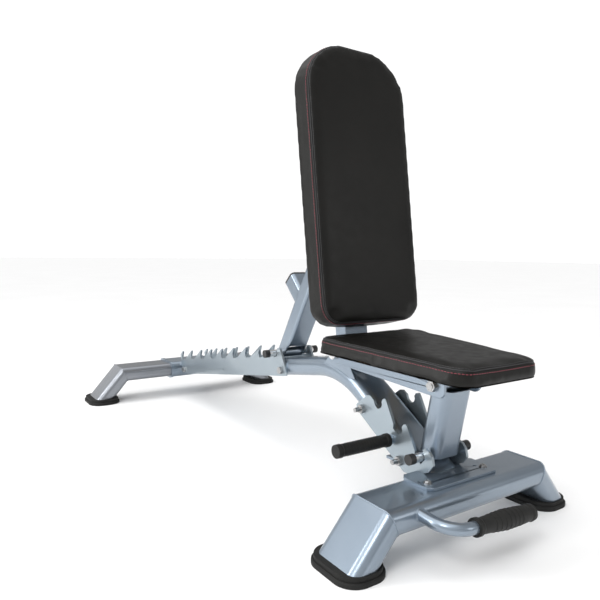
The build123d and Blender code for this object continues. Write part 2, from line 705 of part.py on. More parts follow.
def back_outline(inset):
    half = BACK_HALF - inset
    low = BACK_LOW + inset
    high = BACK_LOW + BACK_LENGTH - inset
    outline = polygon((-half, low), (half, low), (half, high), (-half, high))
    outline = fillet(outline.vertices().group_by(Axis.Y)[0], BACK_LOW_ROUND - inset)
    return fillet(outline.vertices().group_by(Axis.Y)[-1], BACK_TOP_ROUND - inset)


def back_box(x_half, low, high, front, rear):
    outline = Pos(0, (low + high) / 2) * Rectangle(2 * x_half, high - low)
    return back_slab(outline, front, rear)


def build_back():
    half, depth = CHANNEL_HALF
    pad = back_slab(back_outline(0), BACK_FRONT, BACK_REAR)
    board_rear = BACK_REAR
    board_front = BACK_REAR - BOARD_THICK
    pad -= back_slab(back_outline(BACK_BOARD_INSET), board_front, board_rear + 1)
    board = back_slab(back_outline(BACK_BOARD_INSET), board_front, board_rear)
    channel = back_box(half, -depth, CHANNEL_TOP, -depth, depth)
    channel -= back_box(half - CHANNEL_WALL, -BIG, BIG, -depth + CHANNEL_WALL, BIG / 2)
    channel -= back_box(BIG / 3, -BIG / 2, 0, -BIG / 2, BIG / 2)
    cheeks = rod(AXLE, depth, -half, half) - rod(AXLE, depth, -half + CHANNEL_WALL, half - CHANNEL_WALL)
    channel -= back_box(half - CHANNEL_WALL, -BIG / 2, 24, -BIG / 2, BIG / 2)
    channel += cheeks
    channel -= rod(AXLE, BACK_HEAD_RADIUS, -BIG, BIG)
    bolt_hole = rod(PROP_BOLT, PROP_BOLT_RADIUS + 0.02, -BIG, BIG)
    sleeve, bushes = cross_sleeve(AXLE, BACK_HEAD_RADIUS, AXLE_RADIUS, half, 16.0)
    screws = []
    for index, centre in enumerate(BACK_PLATE_UP):
        word = ("lower", "upper")[index]
        plate = back_box(BACK_PLATE_HALF, centre - 20, centre + 20, BACK_REAR, -depth - BACK_BLOCK)
        block = back_box(half, centre - 16, centre + 16, -depth - BACK_BLOCK, -depth)
        plate += block
        for side in (-1, 1):
            hole_x = side * (BACK_PLATE_HALF - 14)
            point = BACK_PLANE.offset(-depth) * Pos(hole_x, -centre, 0)
            hole = point * Cylinder(3.05, 2 * (abs(BACK_REAR) - depth + 9))
            plate -= hole
            board -= hole
            head_start = BACK_PLANE.offset(-depth - BACK_BLOCK) * Pos(hole_x, -centre, 0)
            shank = head_start * extrude(Circle(3.0), -(abs(BACK_REAR) - depth - BACK_BLOCK) - 9)
            head = head_start * extrude(RegularPolygon(5.0, 6, major_radius=False), 3.5)
            screws.append(shank + head)
        nodes[f"back_plate_{word}"] = plate
    nodes["back_pad"] = pad
    nodes["back_board"] = board
    nodes["back_channel"] = channel - bolt_hole
    nodes["back_pivot_sleeve"] = sleeve
    nodes["back_pivot_bushes"] = bushes
    nodes["back_screws"] = Compound(screws)
    shank = rod(PROP_BOLT, PROP_BOLT_RADIUS, -half - 9, half)
    head = hexagon(PROP_BOLT, 21.0, half, half + 7)
    nut = hexagon(PROP_BOLT, 21.0, -half - 8, -half) - rod(PROP_BOLT, PROP_BOLT_RADIUS, -BIG, BIG)
    nodes["prop_bolt"] = Compound([shank + head, nut])


# ---------------------------------------------------------------- prop
def prop_end_cut():
    """What the prop's lower end leaves out, so that it lies clear above the main tube when
    the backrest is flat: everything below a line along the tube, seen from the pin."""
    below = polygon((-BIG, -PROP_END_GAP), (BIG, -PROP_END_GAP), (BIG, -BIG), (-BIG, -BIG))
    return across(below, -BIG, BIG, PROP_PIN, -REAR_SLOPE - PROP_FLAT_TURN)


def build_prop():
    half = PROP_TUBE[0] / 2
    tube_top = PROP_LENGTH - PROP_NECK
    outer, inner = upright_tube(PROP_TUBE, PROP_CORNER, 3.0, PROP_PIN, PROP_LEAN, 2.0, tube_top)
    tube = outer - inner - rod(PROP_PIN, SLEEVE_RADIUS, -half, half)
    nodes["prop_tube"] = tube - prop_end_cut()
    plug = upright_tube(PROP_TUBE, PROP_CORNER, 3.0, PROP_PIN, PROP_LEAN, tube_top - 24, tube_top)[1]
    tongue = upright_tube(PROP_TONGUE, 4.0, 3.0, PROP_PIN, PROP_LEAN, tube_top - 1, PROP_LENGTH)[0]
    sleeve, bushes = cross_sleeve(PROP_BOLT, PROP_HEAD_RADIUS, PROP_BOLT_RADIUS, PROP_TONGUE[0] / 2, 14.0)
    tongue -= rod(PROP_BOLT, PROP_BOLT_RADIUS + RUNNING + BUSH_WALL, -half, half)
    nodes["prop_head"] = plug + tongue + sleeve
    nodes["prop_bushes"] = bushes
    pin_set("prop", PROP_PIN, half)
    root = along(PROP_PIN, (-sin(radians(PROP_LEAN)), cos(radians(PROP_LEAN))), PROP_STUB_REACH)
    stub, stub_inner = upright_tube(PROP_STUB, 10.0, 3.0, root, -PROP_STUB_LEAN, 0, PROP_STUB_LENGTH)
    cap_top = PROP_STUB_LENGTH + PROP_STUB_CAP
    nodes["prop_handle"] = stub - stub_inner - outer
    nodes["prop_handle_cap"] = upright_tube(
        PROP_STUB, 10.0, 3.0, root, -PROP_STUB_LEAN, PROP_STUB_LENGTH, cap_top
    )[0]


build_frame()
build_seat()
build_post()
build_back()
build_prop()

# ---------------------------------------------------------------- origin and files
everything = Compound([shape for shape in nodes.values()]).bounding_box()
ORIGIN_SHIFT = -(everything.min.Y + everything.max.Y) / 2
os.makedirs("parts", exist_ok=True)
for node_name, shape in nodes.items():
    export_step(Pos(0, ORIGIN_SHIFT, 0) * shape, f"parts/{node_name}.step")
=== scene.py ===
"""The look of an adjustable weight bench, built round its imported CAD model."""

import json
import math

import bmesh
import bpy
from mathutils import Matrix, Vector, noise
from mathutils.bvhtree import BVHTree
from mathutils.kdtree import KDTree


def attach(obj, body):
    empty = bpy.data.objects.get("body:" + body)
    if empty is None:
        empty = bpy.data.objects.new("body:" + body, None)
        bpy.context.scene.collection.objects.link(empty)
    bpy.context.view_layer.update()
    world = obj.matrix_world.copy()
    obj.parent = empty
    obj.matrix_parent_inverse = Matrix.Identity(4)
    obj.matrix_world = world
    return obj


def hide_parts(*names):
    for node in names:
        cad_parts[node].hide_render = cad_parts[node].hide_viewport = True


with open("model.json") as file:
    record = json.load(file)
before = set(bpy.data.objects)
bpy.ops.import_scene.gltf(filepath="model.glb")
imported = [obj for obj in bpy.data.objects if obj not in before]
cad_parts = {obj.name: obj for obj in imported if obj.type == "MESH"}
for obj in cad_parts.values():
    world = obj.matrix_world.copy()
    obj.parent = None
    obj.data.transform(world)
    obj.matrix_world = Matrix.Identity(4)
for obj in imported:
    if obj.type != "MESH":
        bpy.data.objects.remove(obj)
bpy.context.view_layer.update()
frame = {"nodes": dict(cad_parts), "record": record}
NODES = frame["nodes"]
BODY = {name: body for body, names in frame["record"]["behaviour"]["bodies"].items() for name in names}
MM = 0.001

# The middle part of a noise texture, where nearly all of its values lie.
NOISE_LOW = 0.3
NOISE_HIGH = 0.7

# How level and how near the outermost one a face has to be to count as part of a flat side.
ROUGH_COSINE = 0.9
FLAT_COSINE = 0.9998
FLAT_DEPTH = 0.2 * MM

# The pads' covers: remeshing, cloth simulation and smoothing.
OUTLINE_STEP = 2 * MM
EDGE_ROUND = 9 * MM
PAD_VOXEL = 5 * MM
PAD_SWELL = 4 * MM
PAD_FRAMES = 20
PAD_PRESSURE = 4.0
PAD_SMOOTHING = 8
FACE_SINK = 2.5 * MM
HELD_TO_BOARD = 1.3 * PAD_VOXEL
HELD_TO_BACK = 1.2 * PAD_VOXEL

# The pads' side panels. Levels run from 0 at the padded face to 1 at the back.
PANEL_LEAN = 0.3
PANEL_LEVELS = (0.05, 1.05)
PANEL_BULGE = 1.4 * MM
BULGE_START = 0.1
BULGE_SHARE = 0.85
BOARD_CLEARANCE = 7 * MM
PUCKER_PITCH = 66 * MM
PUCKER_WANDER = 9 * MM
FINE_WRINKLE = 0.2 * MM

# How fast the noises that make things uneven change, per metre, or per point for the flap.
WANDER_PACE = 14
UNEVEN_PACE = 23
WRINKLE_PACE = 55
WELD_PACE = 300
RIPPLE_PACE = 0.19
LIFT_PACE = 0.37

# The seam: its crease, welt and rows of stitches.
SEAM_OUT = 0.42 * EDGE_ROUND
SEAM_UP = -0.32 * EDGE_ROUND
SEAM_SMOOTHING = 3
CREASE_REACH = 9 * MM
CREASE_DEPTH = 1.1 * MM
CREASE_WIDTH = 3.2 * MM
WELT_RADIUS = 1.15 * MM
WELT_LIFT = 0.35 * MM
SIDE_ROW_DROP = 1.15 * EDGE_ROUND
TOP_ROW_RISE = 1 * MM
STITCH_PARTS = 4
STITCH_SIDES = 6
STITCH_TAPER = 0.55
RED_STITCH = {"length": 4.2 * MM, "gap": 1.6 * MM, "radius": 0.55 * MM}
RED_LIFT = 0.15 * MM
GREY_STITCH = {"length": 3.4 * MM, "gap": 1.8 * MM, "radius": 0.35 * MM}
GREY_LIFT = 0.1 * MM

# The cover's edge behind the board, and its staples.
FLAP_STEP = 3 * MM
FLAP_OUT = 9 * MM
FLAP_REACH = 9 * MM
FLAP_RIPPLE = 1.6 * MM
FLAP_LIFT = (0.5 * MM, 0.35 * MM)
STAPLE_PITCH = 25 * MM
STAPLE_INSET = 5.2 * MM
STAPLE_BEHIND = 1.75 * MM
STAPLE_LENGTH = 9.5 * MM
STAPLE_WIDTH = 1.2 * MM
STAPLE_WIRE = 0.7 * MM
STAPLE_LEG_DEPTH = 2.6 * MM
STAPLE_LEG_SHIFT = 4.6 * MM

# Weld beads.
WELD_RADIUS = 1.6 * MM
WELD_STEP = 1.6 * MM
WELD_REACH = 0.3 * MM
WELD_SHORTEST = 8 * MM
WELD_CLOSES = 12 * MM
WELD_BEND = 0.3
WELD_RIPPLE = 0.16
WELD_RIPPLE_TURN = 2.1
WELD_UNEVEN = 0.1

# Rings on the rubber grips: how many, and the share of the grip's length that they cover.
GRIP_RIBS = {"side_grip": (13, 0.6), "front_handle_grip": (7, 0.45)}
GRIP_END = 12 * MM
GRIP_CAST = 40 * MM
GRIP_RADIUS = 13 * MM
RIB_RADIUS = 0.6 * MM
RIB_LIFT = 0.05 * MM
RIB_STEPS = 40
RIB_SIDES = 6

# Edge rounding of sheet and plate nodes, with its angle in degrees.
EASE_WIDTH = 0.9 * MM
EASE_ANGLE = 40

# The stage. Lights are name, place, target, size and power in watts; the sun's angles are degrees.
FLOOR_HALF = 40.0
LIGHT_AIM = (0, 0, 0.4)
AREA_LIGHTS = (
    ("key", (-2.6, -1.6, 2.8), LIGHT_AIM, (1.2, 1.2), 38),
    ("side", (-2.8, 0.9, 1.1), (0, 0, 0.6), (0.6, 2.2), 42),
    ("front", (1.6, -3.2, 1.4), LIGHT_AIM, (1.2, 1.2), 10),
)
SUN_POWER = 1.3
SUN_SPREAD = 80
SUN_TILT = (-12, -14)

# The world's brightness by height and from side to side, as position and level.
WORLD_BY_HEIGHT = ((0.0, 0.26), (0.08, 0.34), (0.24, 0.95), (0.45, 0.6), (0.75, 0.9))
WORLD_BY_SIDE = ((0.0, 1.0), (0.45, 0.9), (0.62, 0.45), (1.0, 0.55))
WORLD_STRENGTH = 1.1

# The camera stands at the left front of the seat, a little above its top. Its angles are radians.
CAMERA_PLACE = (-0.8353, -1.32805, 0.5272)
CAMERA_YAW = 0.591
CAMERA_PITCH = 0.115
CAMERA_ROLL = 0.012
CAMERA_LENS = 34.37
CAMERA_SHIFT = 0.031


# ---------------------------------------------------------------- node helpers
class Shader:
    """One Principled material, with short calls for the nodes that feed it."""

    def __init__(self, name, **values):
        self.material = bpy.data.materials.new(name)
        self.material.use_nodes = True
        self.tree = self.material.node_tree
        self.bsdf = self.tree.nodes["Principled BSDF"]
        for socket, value in values.items():
            self.bsdf.inputs[socket.replace("_", " ")].default_value = value
        self.place = self.tree.nodes.new("ShaderNodeTexCoord").outputs["Object"]

    def node(self, kind, links=None, **settings):
        """A new node; each setting is one of its own properties or else an input."""
        made = self.tree.nodes.new("ShaderNode" + kind)
        for key, value in settings.items():
            if hasattr(made, key):
                setattr(made, key, value)
            else:
                made.inputs[key.replace("_", " ")].default_value = value
        for key, source in (links or {}).items():
            self.tree.links.new(source, made.inputs[key])
        return made

    def noise(self, scale, detail=3.0, roughness=0.5, stretch=(1, 1, 1)):
        moved = self.node("Mapping", {"Vector": self.place})
        moved.inputs["Scale"].default_value = stretch
        made = self.node(
            "TexNoise", {"Vector": moved.outputs[0]}, Scale=scale, Detail=detail, Roughness=roughness
        )
        return made.outputs[0]

    def cells(self, scale):
        """The distance to the nearest border between irregular cells."""
        made = self.node("TexVoronoi", {"Vector": self.place}, feature="DISTANCE_TO_EDGE", Scale=scale)
        return made.outputs["Distance"]

    def ramp(self, source, *stops):
        """A colour ramp; each stop is a position and a colour or a grey level."""
        made = self.node("ValToRGB", {"Fac": source})
        elements = made.color_ramp.elements
        while len(elements) < len(stops):
            elements.new(0.5)
        for element, (position, value) in zip(elements, stops):
            element.position = position
            element.color = (*value, 1) if isinstance(value, tuple) else (value, value, value, 1)
        return made.outputs[0]

    def blend(self, source, low, high):
        """A ramp between two colours over the middle of a noise."""
        return self.ramp(source, (NOISE_LOW, low), (NOISE_HIGH, high))

    def spread(self, source, low, high):
        """A value that runs from low to high over the middle of a noise."""
        made = self.node("MapRange", {"Value": source})
        limits = {"From Min": NOISE_LOW, "From Max": NOISE_HIGH, "To Min": low, "To Max": high}
        for key, value in limits.items():
            made.inputs[key].default_value = value
        return made.outputs[0]

    def bump(self, source, distance, strength, before=None):
        made = self.node("Bump", {"Height": source}, Strength=strength, Distance=distance)
        if before:
            self.tree.links.new(before, made.inputs["Normal"])
        return made.outputs[0]

    def feed(self, **sources):
        for key, source in sources.items():
            self.tree.links.new(source, self.bsdf.inputs[key.replace("_", " ")])
        return self.material


# ---------------------------------------------------------------- materials
def paint(name, low, high):
    """Glossy silver-grey powder coat with a fine metallic fleck."""
    s = Shader(name, Metallic=0.8, Coat_Weight=0.6, Coat_Roughness=0.08, Specular_IOR_Level=0.5)
    cloud = s.noise(7.0, 3.0)
    fleck = s.noise(2600.0, 1.0)
    return s.feed(
        Base_Color=s.blend(cloud, low, high),
        Roughness=s.spread(fleck, 0.24, 0.38),
        Normal=s.bump(s.noise(420.0, 2.0), 0.0002, 0.35),
    )


def vinyl(name, low, high, grain=1.0):
    """Black upholstery vinyl with a fine pebbled grain."""
    s = Shader(name, Specular_IOR_Level=0.2)
    soft = s.bump(s.noise(30.0, 2.0), 0.0008, 0.15)
    return s.feed(
        Base_Color=s.blend(s.noise(6.0, 4.0), low, high),
        Roughness=s.spread(s.noise(55.0, 3.0), 0.34, 0.44),
        Normal=s.bump(s.cells(950.0), 0.0003 * grain, 0.35, soft),
    )


def thread(name, low, high):
    """Twisted polyester thread."""
    s = Shader(name, Sheen_Weight=0.3, Roughness=0.6)
    twist = s.noise(900.0, 1.0, 0.5, (1, 1, 3))
    return s.feed(Base_Color=s.blend(twist, low, high), Normal=s.bump(twist, 0.0003, 0.6))


def rubber(name, level, rough=(0.6, 0.8)):
    """Moulded black rubber with a little dust in its texture."""
    s = Shader(name, Specular_IOR_Level=0.25)
    dust = s.noise(30.0, 5.0, 0.6)
    dusty = (level + 0.012, level + 0.012, level + 0.011)
    return s.feed(
        Base_Color=s.ramp(dust, (0.3, level), (0.75, dusty)),
        Roughness=s.spread(dust, *rough),
        Normal=s.bump(s.noise(1500.0, 2.0), 0.0002, 0.35),
    )


def plywood(name):
    """Plain birch plywood."""
    s = Shader(name, Specular_IOR_Level=0.3)
    grain = s.noise(6.0, 6.0, 0.65, (12, 1, 12))
    dark = (0.30, 0.19, 0.10)
    middle = (0.46, 0.32, 0.19)
    pale = (0.55, 0.41, 0.26)
    return s.feed(
        Base_Color=s.ramp(grain, (0.25, dark), (0.55, middle), (0.8, pale)),
        Roughness=s.spread(grain, 0.6, 0.8),
        Normal=s.bump(grain, 0.0004, 0.4),
    )


def plastic(name, low, high):
    """Satin moulded plastic."""
    s = Shader(name, Specular_IOR_Level=0.5)
    wash = s.noise(45.0, 3.0)
    return s.feed(
        Base_Color=s.blend(wash, low, high),
        Roughness=s.spread(wash, 0.32, 0.48),
        Normal=s.bump(s.noise(1800.0, 1.0), 0.0001, 0.3),
    )


def chrome(name):
    """Bright plated steel with hairline scuffs round the pin."""
    s = Shader(name, Metallic=1.0)
    scuffs = s.noise(60.0, 5.0, 0.7, (14, 1, 1))
    return s.feed(
        Base_Color=s.blend(scuffs, 0.55, 0.78),
        Roughness=s.spread(scuffs, 0.12, 0.3),
        Normal=s.bump(scuffs, 0.00005, 0.3),
    )


def zinc(name):
    """Bright zinc plating with a faint mottled bloom."""
    s = Shader(name, Metallic=1.0)
    bloom = s.noise(140.0, 4.0, 0.6)
    return s.feed(
        Base_Color=s.blend(bloom, 0.30, 0.48),
        Roughness=s.spread(bloom, 0.24, 0.42),
        Normal=s.bump(bloom, 0.00008, 0.4),
    )


MATERIALS = {
    "frame_paint": paint("frame_paint_silver", (0.225, 0.275, 0.335), (0.265, 0.32, 0.38)),
    # A lighter copy of the frame paint for the notched plates: painted light.
    "frame_paint_painted_light": paint("frame_paint_silver_painted_light", (0.30, 0.355, 0.395), (0.34, 0.395, 0.435)),
    # A darker, browner copy of the frame paint for the rear foot: painted shade.
    "frame_paint_painted_shade": paint("frame_paint_silver_painted_shade", (0.225, 0.24, 0.265), (0.255, 0.27, 0.295)),
    "vinyl": vinyl("vinyl_black", (0.0065, 0.0062, 0.0055), (0.010, 0.0095, 0.0085)),
    "rubber_feet": rubber("rubber_feet_black", 0.008),
    "rubber_grip": rubber("rubber_grip_black", 0.007, (0.45, 0.62)),
    "plywood": plywood("plywood_birch"),
    "plastic_caps": plastic("plastic_black", 0.010, 0.018),
    "nylon_bush": plastic("nylon_natural", (0.56, 0.55, 0.50), (0.66, 0.65, 0.60)),
    "chrome_pin": chrome("chrome_pin"),
    "zinc_fasteners": zinc("zinc_plate"),
    # The welt's vinyl is painted a lighter grey than the cover's: a painted highlight along the seam.
    "welt": vinyl("welt_grey_painted_highlight", (0.03, 0.03, 0.032), (0.045, 0.045, 0.048), 0.4),
    "thread_red": thread("thread_red", (0.20, 0.012, 0.03), (0.36, 0.03, 0.06)),
    "thread_grey": thread("thread_grey", (0.05, 0.05, 0.055), (0.10, 0.10, 0.11)),
}
# Nodes that get the lighter copy of the frame paint (painted light) and the darker copy (painted
# shade).
PLATES = ("seat_ladder_left", "seat_ladder_right", "back_rack_left", "back_rack_right")
REAR = ("rear_crossbar", "rear_leg_left", "rear_leg_right")


def dress_nodes():
    """Each CAD node gets its slot's material, except that the notched plates get a lighter copy of the
    frame paint, which is painted light, and the rear foot gets a darker copy, which is painted shade.
    """
    for entry in frame["record"]["subparts"]:
        look = entry["material_slot"]
        if entry["node"] in PLATES:
            look = "frame_paint_painted_light"
        if entry["node"] in REAR:
            look = "frame_paint_painted_shade"
        materials = NODES[entry["node"]].data.materials
        materials.clear()
        materials.append(MATERIALS[look])


# ---------------------------------------------------------------- mesh helpers
def new_object(name, mesh, material=None):
    """A new object in the scene, in one of the materials if one is named."""
    made = bpy.data.objects.new(name, mesh)
    bpy.context.scene.collection.objects.link(made)
    if material:
        mesh.materials.clear()
        mesh.materials.append(MATERIALS[material])
    return made


def apply_modifiers(obj):
    graph = bpy.context.evaluated_depsgraph_get()
    mesh = bpy.data.meshes.new_from_object(obj.evaluated_get(graph))
    obj.modifiers.clear()
    obj.data = mesh


def normals_of(obj):
    """The corner normals, read once: reading them while corners move is very slow."""
    return [vert.normal.copy() for vert in obj.data.vertices]


def smooth(obj):
    for polygon in obj.data.polygons:
        polygon.use_smooth = True


def world_bmesh(node):
    """A CAD node's mesh in the row frame, with its split corners joined again."""
    mesh = bmesh.new()
    mesh.from_mesh(node.data)
    mesh.transform(node.matrix_world)
    bmesh.ops.remove_doubles(mesh, verts=mesh.verts, dist=1e-6)
    mesh.normal_update()
    return mesh


def surface_of(mesh):
    """A mesh's surface, for finding the nearest point or where a ray hits."""
    return BVHTree.FromBMesh(mesh)


def tree_of(points):
    """Points, for finding the nearest one and its number."""
    tree = KDTree(len(points))
    for index, point in enumerate(points):
        tree.insert(point, index)
    tree.balance()
    return tree


def drift(*place):
    """A smooth value between about -1 and 1 that looks random and is always the same at a place."""
    return noise.noise(Vector(place))


def facing_of(mesh, rough):
    """The normal of the largest face that looks roughly one way."""
    likely = [face for face in mesh.faces if face.normal.dot(rough) > ROUGH_COSINE]
    return max(likely, key=lambda face: face.calc_area()).normal.copy()


def outline_of(mesh, facing):
    """The outer outline of the flat face that looks along facing, as ordered points."""
    flat = [face for face in mesh.faces if face.normal.dot(facing) > FLAT_COSINE]
    far = max(face.calc_center_median().dot(facing) for face in flat)
    flat = {face for face in flat if face.calc_center_median().dot(facing) > far - FLAT_DEPTH}
    rim = [edge for edge in mesh.edges if sum(face in flat for face in edge.link_faces) == 1]
    return max(chains(rim), key=length_of)


def chains(edges):
    """Joins edges that share corners into ordered lists of points."""
    beside = {}
    for edge in edges:
        a, b = edge.verts
        beside.setdefault(a, []).append(b)
        beside.setdefault(b, []).append(a)
    left = set(beside)
    found = []
    while left:
        start = min(left, key=lambda vert: (len(beside[vert]), vert.index))
        walk = [start]
        left.discard(start)
        while True:
            after = [vert for vert in beside[walk[-1]] if vert in left]
            if not after:
                break
            walk.append(after[0])
            left.discard(after[0])
        found.append([vert.co.copy() for vert in walk])
    return found


def length_of(points):
    return sum((b - a).length for a, b in zip(points, points[1:]))


def resample(points, step, closed=True):
    """Evenly spaced points along a path."""
    path = points + [points[0]] if closed else points
    reach = [0.0]
    for a, b in zip(path, path[1:]):
        reach.append(reach[-1] + (b - a).length)
    count = max(4, round(reach[-1] / step))
    even = []
    index = 0
    for number in range(count if closed else count + 1):
        along = reach[-1] * number / count
        while index < len(path) - 2 and reach[index + 1] < along:
            index += 1
        span = max(1e-9, reach[index + 1] - reach[index])
        even.append(path[index].lerp(path[index + 1], min(1.0, (along - reach[index]) / span)))
    return even


def neighbours(points, index, closed=True):
    """The points before and after one of a path; at an open end, the point itself."""
    last = len(points) - 1
    before = points[index - 1] if closed or index else points[index]
    after = points[(index + 1) % len(points)] if closed or index < last else points[index]
    return before, after


def directions(points, normal):
    """For each point of a closed path: the way along it and the way outward, square to normal."""
    ways = []
    centre = sum(points, Vector()) / len(points)
    for index, point in enumerate(points):
        before, after = neighbours(points, index)
        ahead = (after - before).normalized()
        out = ahead.cross(normal).normalized()
        if out.dot(point - centre) < 0:
            out = -out
        ways.append((ahead, out))
    return ways


def ring_round(mesh, point, side, up, radius, sides):
    """New corners in a circle round a point."""
    corners = []
    for number in range(sides):
        angle = 2 * math.pi * number / sides
        corners.append(mesh.verts.new(point + (side * math.cos(angle) + up * math.sin(angle)) * radius))
    return corners


def join_rings(mesh, a, b, turn=0):
    """A band of faces between two rings; turn shifts where the second one starts."""
    sides = len(a)
    for number in range(sides):
        after = (number + 1) % sides
        mesh.faces.new((a[number], a[after], b[(after + turn) % sides], b[(number + turn) % sides]))


def cap_ends(mesh, rings):
    mesh.faces.new(list(reversed(rings[0])))
    mesh.faces.new(rings[-1])


def finished(name, mesh, material):
    """A smooth-shaded object made from a working mesh, with its faces turned outward."""
    bmesh.ops.recalc_face_normals(mesh, faces=mesh.faces)
    data = bpy.data.meshes.new(name)
    mesh.to_mesh(data)
    mesh.free()
    made = new_object(name, data, material)
    smooth(made)
    return made


def tube_along(name, points, radii, material, closed=True, sides=8):
    """A round cord of mesh along points, with a radius for each of them."""
    mesh = bmesh.new()
    count = len(points)
    rings = []
    ahead = points[1] - points[0]
    side = None
    for index, point in enumerate(points):
        before, after = neighbours(points, index, closed)
        if (after - before).length > 1e-6:
            ahead = (after - before).normalized()
        if side is None:
            side = ahead.orthogonal().normalized()
        across = side - ahead * side.dot(ahead)
        side = across.normalized() if across.length > 1e-3 else ahead.orthogonal().normalized()
        rings.append(ring_round(mesh, point, side, ahead.cross(side), radii[index], sides))
    for a, b in zip(rings, rings[1:]):
        join_rings(mesh, a, b)
    if closed:
        first = rings[0]
        last = rings[count - 1]
        turn = min(range(sides), key=lambda shift: (last[0].co - first[shift].co).length)
        join_rings(mesh, last, first, turn)
    else:
        cap_ends(mesh, rings)
    return finished(name, mesh, material)


def stitches(name, points, length, gap, radius, material):
    """A row of short thread stitches along a closed path, thinner at their ends."""
    mesh = bmesh.new()
    part = length / STITCH_PARTS
    path = resample(points, part)
    pitch = round((length + gap) / part)
    for start in range(0, len(path) - pitch, pitch):
        rod = path[start : start + STITCH_PARTS + 1]
        rings = []
        for index, point in enumerate(rod):
            before, after = neighbours(rod, index, closed=False)
            ahead = (after - before).normalized()
            side = ahead.orthogonal().normalized()
            thick = radius * (STITCH_TAPER if index in (0, STITCH_PARTS) else 1.0)
            rings.append(ring_round(mesh, point, side, ahead.cross(side), thick, STITCH_SIDES))
        for a, b in zip(rings, rings[1:]):
            join_rings(mesh, a, b)
        cap_ends(mesh, rings)
    return finished(name, mesh, material)


